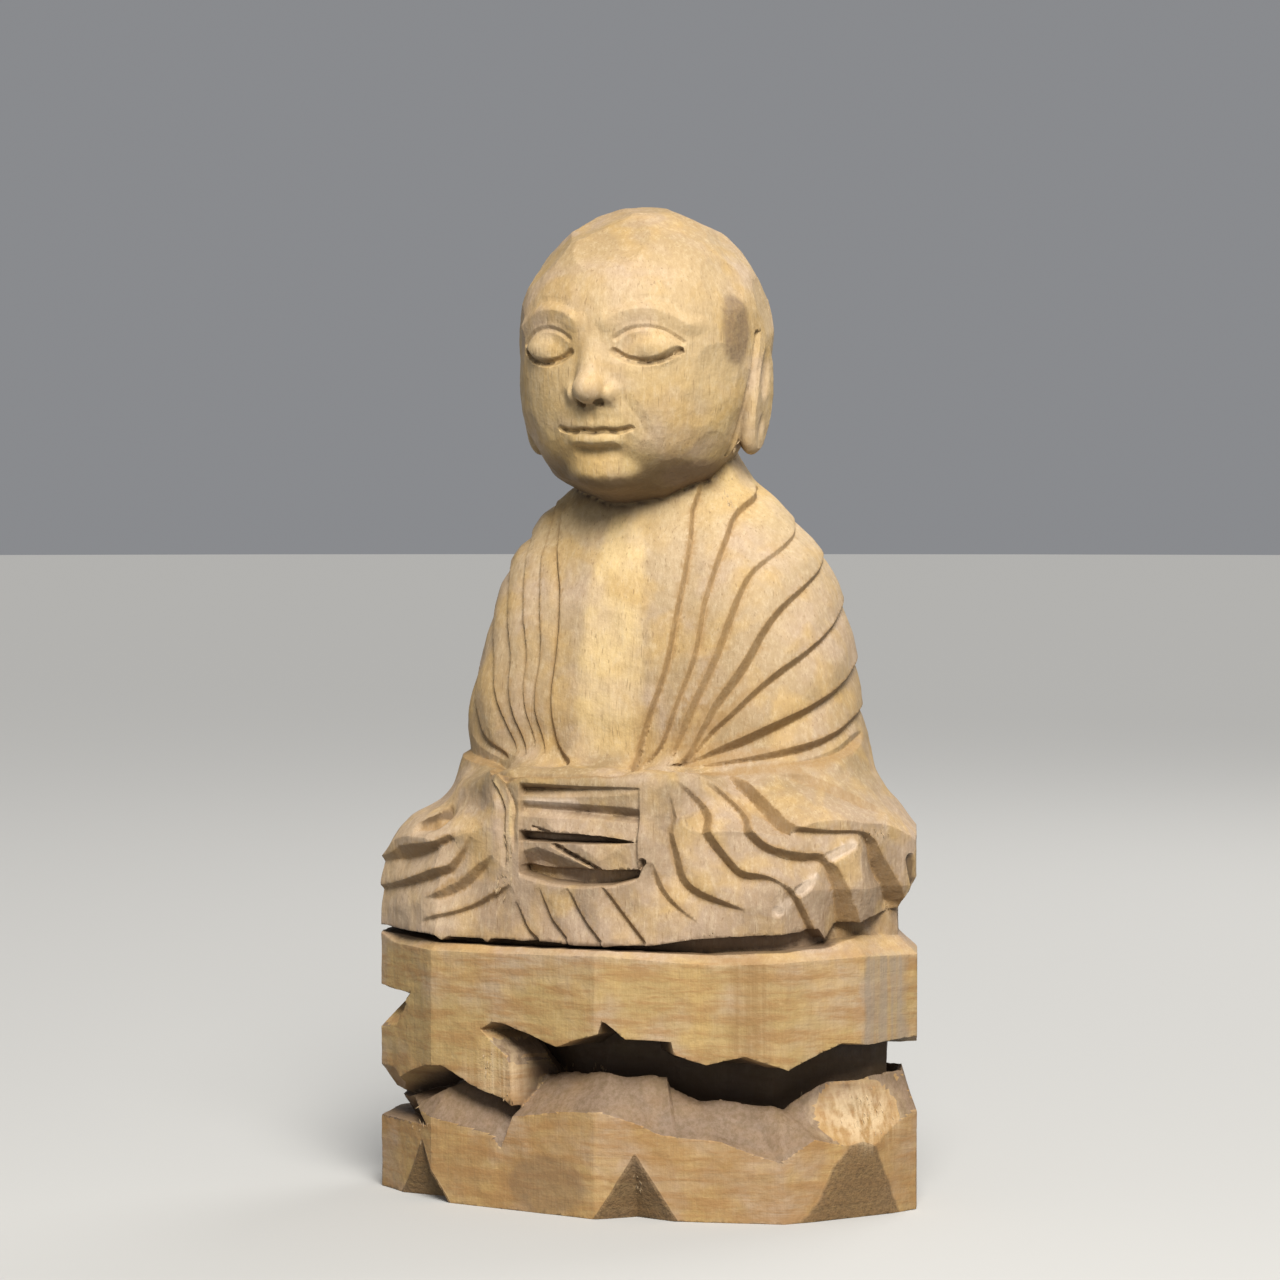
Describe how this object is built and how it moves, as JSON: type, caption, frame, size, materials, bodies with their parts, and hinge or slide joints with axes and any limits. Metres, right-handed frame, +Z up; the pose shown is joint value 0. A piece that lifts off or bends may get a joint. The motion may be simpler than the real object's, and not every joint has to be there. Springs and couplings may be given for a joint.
{
  "type": "wooden arhat statue",
  "caption": "Seated monk figure with hands hidden in deeply folded robes, carved in one block of wood with its slab and rock seat.",
  "frame": {"origin": "centre of the bounding box's underside, on the surface the statue stands on", "axes": "+Z up from the foot to the crown, the figure faces -Y, and +X is towards the figure's left"},
  "size_m": [0.0911, 0.0525, 0.1606],
  "materials": {
    "wood": "matt, bare carved wood with darker grooves"
  },
  "bodies": {
    "root": {"arhat_statue": "wood"}
  },
  "joints": []
}
